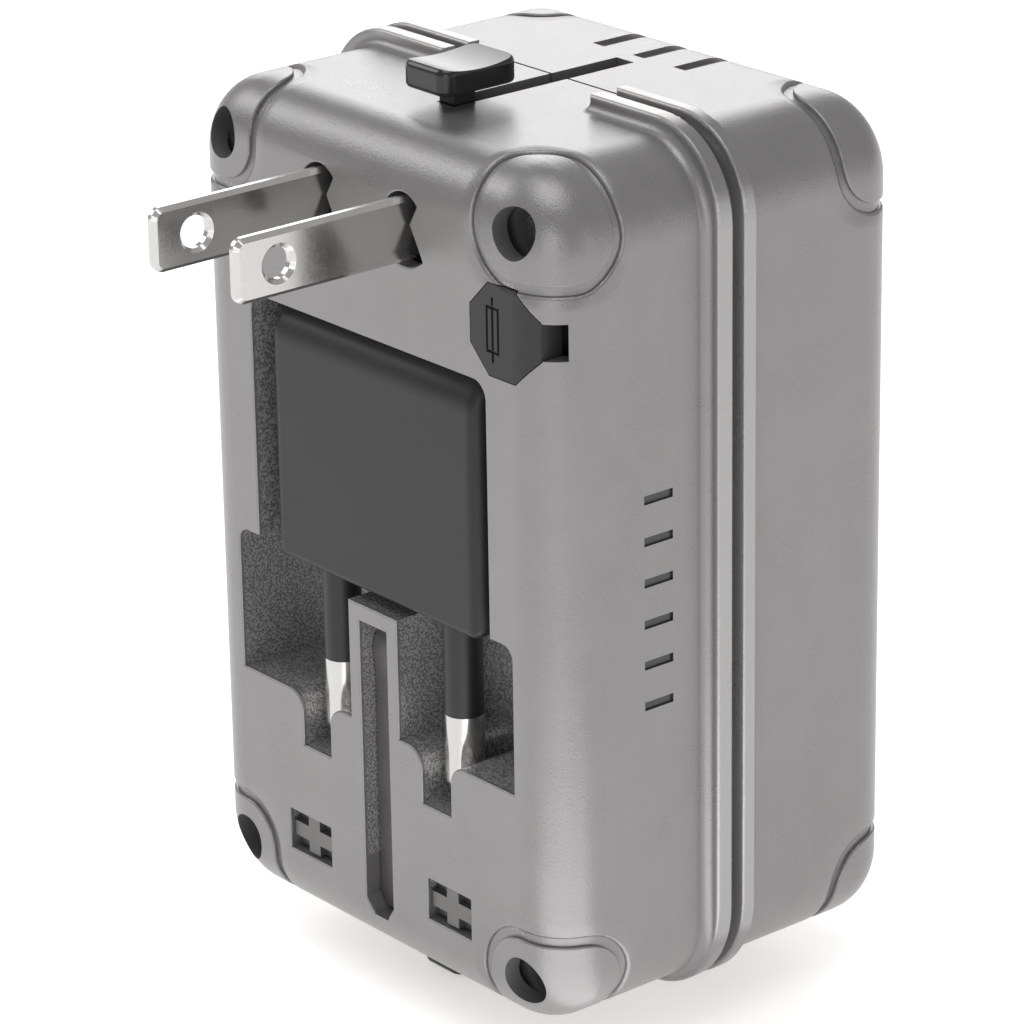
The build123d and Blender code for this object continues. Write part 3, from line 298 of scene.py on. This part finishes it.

# ------------------------------------------------------------------ details of the case's finish, with painted highlight and painted shade
# the case's half sizes and depth are those of the rear shell
REAR_LOW, REAR_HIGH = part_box("rear_shell")
CASE_GREY = SLOT_MATERIALS["case_grey"]
CASE_HALF, CASE_DEPTH = (REAR_HIGH[0], REAR_HIGH[2]), REAR_HIGH[1]
CREST_HIGHLIGHT_REACH = [half + 0.9 * MM for half in CASE_HALF]
CAP_CORNER = (17.4 * MM, 8.1 * MM, 33.4 * MM)
POCKET_HALF = (22 * MM, 33 * MM)
BAR_X = (CASE_HALF[0] - 0.29 * MM, CASE_HALF[0] - 0.06 * MM)
BAR_Y = (11.1 * MM, 14.9 * MM)
BAR_Z = 14.0 * MM
# painted highlight: the rib crests are painted lighter than the rest of the case
paint_crest_highlight(CASE_GREY, CREST_HIGHLIGHT_REACH, (0.38, 0.375, 0.37))
soften_caps(CASE_GREY, CAP_CORNER, CASE_HALF, CASE_DEPTH, depth_mm=0.3)
# painted shade and light: a coarse speckle on the walls inside the pockets, wells and slots
paint_pocket_shade_speckle(CASE_GREY, CASE_HALF, POCKET_HALF, CASE_DEPTH, dark=grey(0.24), light=grey(0.55))
darken_bars(CASE_GREY, BAR_X, BAR_Y, BAR_Z, (0.07, 0.07, 0.072))

# ------------------------------------------------------------------ finish of the CAD nodes
slot_of = {part["node"]: part["material_slot"] for part in frame["record"]["subparts"]}
for name, node_object in frame["nodes"].items():
    node_object.data.materials.clear()
    node_object.data.materials.append(SLOT_MATERIALS[slot_of[name]])

# ------------------------------------------------------------------ floor, light and camera
low, high = CAD_BOX
floor_mesh = bpy.data.meshes.new("floor")
FLOOR_HALF = 3.0
floor_corners = [(sx * FLOOR_HALF, sy * FLOOR_HALF, low[2])
                 for sx, sy in ((-1, -1), (1, -1), (1, 1), (-1, 1))]
floor_mesh.from_pydata(floor_corners, [], [(0, 1, 2, 3)])
floor = bpy.data.objects.new("floor", floor_mesh)
bpy.context.scene.collection.objects.link(floor)
pale = textured("pale_floor", grey(0.86), grey(0.9), (0.55, 0.7), grain_mm=3.0, bump=0.02, depth_mm=0.05,
                blotch_mm=60.0)
floor_shader = pale.node_tree.nodes["Principled BSDF"]
floor_shader.inputs["Emission Color"].default_value = (1.0, 0.99, 0.97, 1)
floor_shader.inputs["Emission Strength"].default_value = 0.5
floor.data.materials.append(pale)

world = bpy.data.worlds.new("studio")
world.use_nodes = True
sky = world.node_tree.nodes["Background"]
sky.inputs["Color"].default_value = (1.0, 0.985, 0.985, 1)
sky.inputs["Strength"].default_value = 0.5
bpy.context.scene.world = world

# camera angles in degrees, place in metres, lens and sensor in millimetres
CAMERA_AZIMUTH, CAMERA_ELEVATION, CAMERA_ROLL = 50.42, 21.126, -0.935
CAMERA_AT = Vector((337.53, -261.0, 169.07)) * MM
LENS, SENSOR = 165.83, 36


def softbox(name, azimuth, elevation, distance, size, power, target=(0, 0.02, 0)):
    """A square area light at azimuth and elevation degrees from the target, aimed at it."""
    a, e = math.radians(azimuth), math.radians(elevation)
    away = Vector((math.sin(a) * math.cos(e), -math.cos(a) * math.cos(e), math.sin(e)))
    light = bpy.data.lights.new(name, "AREA")
    light.shape = "SQUARE"
    light.size = size
    light.energy = power
    lamp = bpy.data.objects.new(name, light)
    lamp.location = Vector(target) + away * distance
    lamp.rotation_euler = away.to_track_quat("Z", "Y").to_euler()
    lamp.visible_camera = False
    bpy.context.scene.collection.objects.link(lamp)


softbox("top_softbox", 50, 80, 0.7, 0.5, 1.5)
softbox("back_softbox", CAMERA_AZIMUTH + 180, 22, 0.9, 0.5, 1.9)
softbox("left_softbox", -64, 35, 0.8, 0.35, 1.0)
softbox("key_spot", 46, 19, 0.9, 0.07, 0.35)
softbox("side_spot", 112, 9, 0.9, 0.05, 0.18)
softbox("pocket_fill", 38, 4, 0.8, 0.4, 0.5)
softbox("floor_card", 0, -90, 0.046, 0.06, 0.014, target=(0.055, -0.02, 0))

bpy.context.scene.view_settings.view_transform = "Standard"
az, el, roll = (math.radians(v) for v in (CAMERA_AZIMUTH, CAMERA_ELEVATION, CAMERA_ROLL))
forward = Vector((-math.sin(az) * math.cos(el), math.cos(az) * math.cos(el), -math.sin(el)))
right = forward.cross(Vector((0, 0, 1))).normalized()
up = right.cross(forward)
tilted_right = math.cos(roll) * right + math.sin(roll) * up
tilted_up = -math.sin(roll) * right + math.cos(roll) * up
camera_data = bpy.data.cameras.new("camera")
camera_data.sensor_width = SENSOR
camera_data.lens = LENS
camera_data.clip_start = 0.01
camera = bpy.data.objects.new("camera", camera_data)
turn = Matrix((tilted_right, tilted_up, -forward)).transposed()
camera.matrix_world = Matrix.Translation(CAMERA_AT) @ turn.to_4x4()
bpy.context.scene.collection.objects.link(camera)
bpy.context.scene.camera = camera
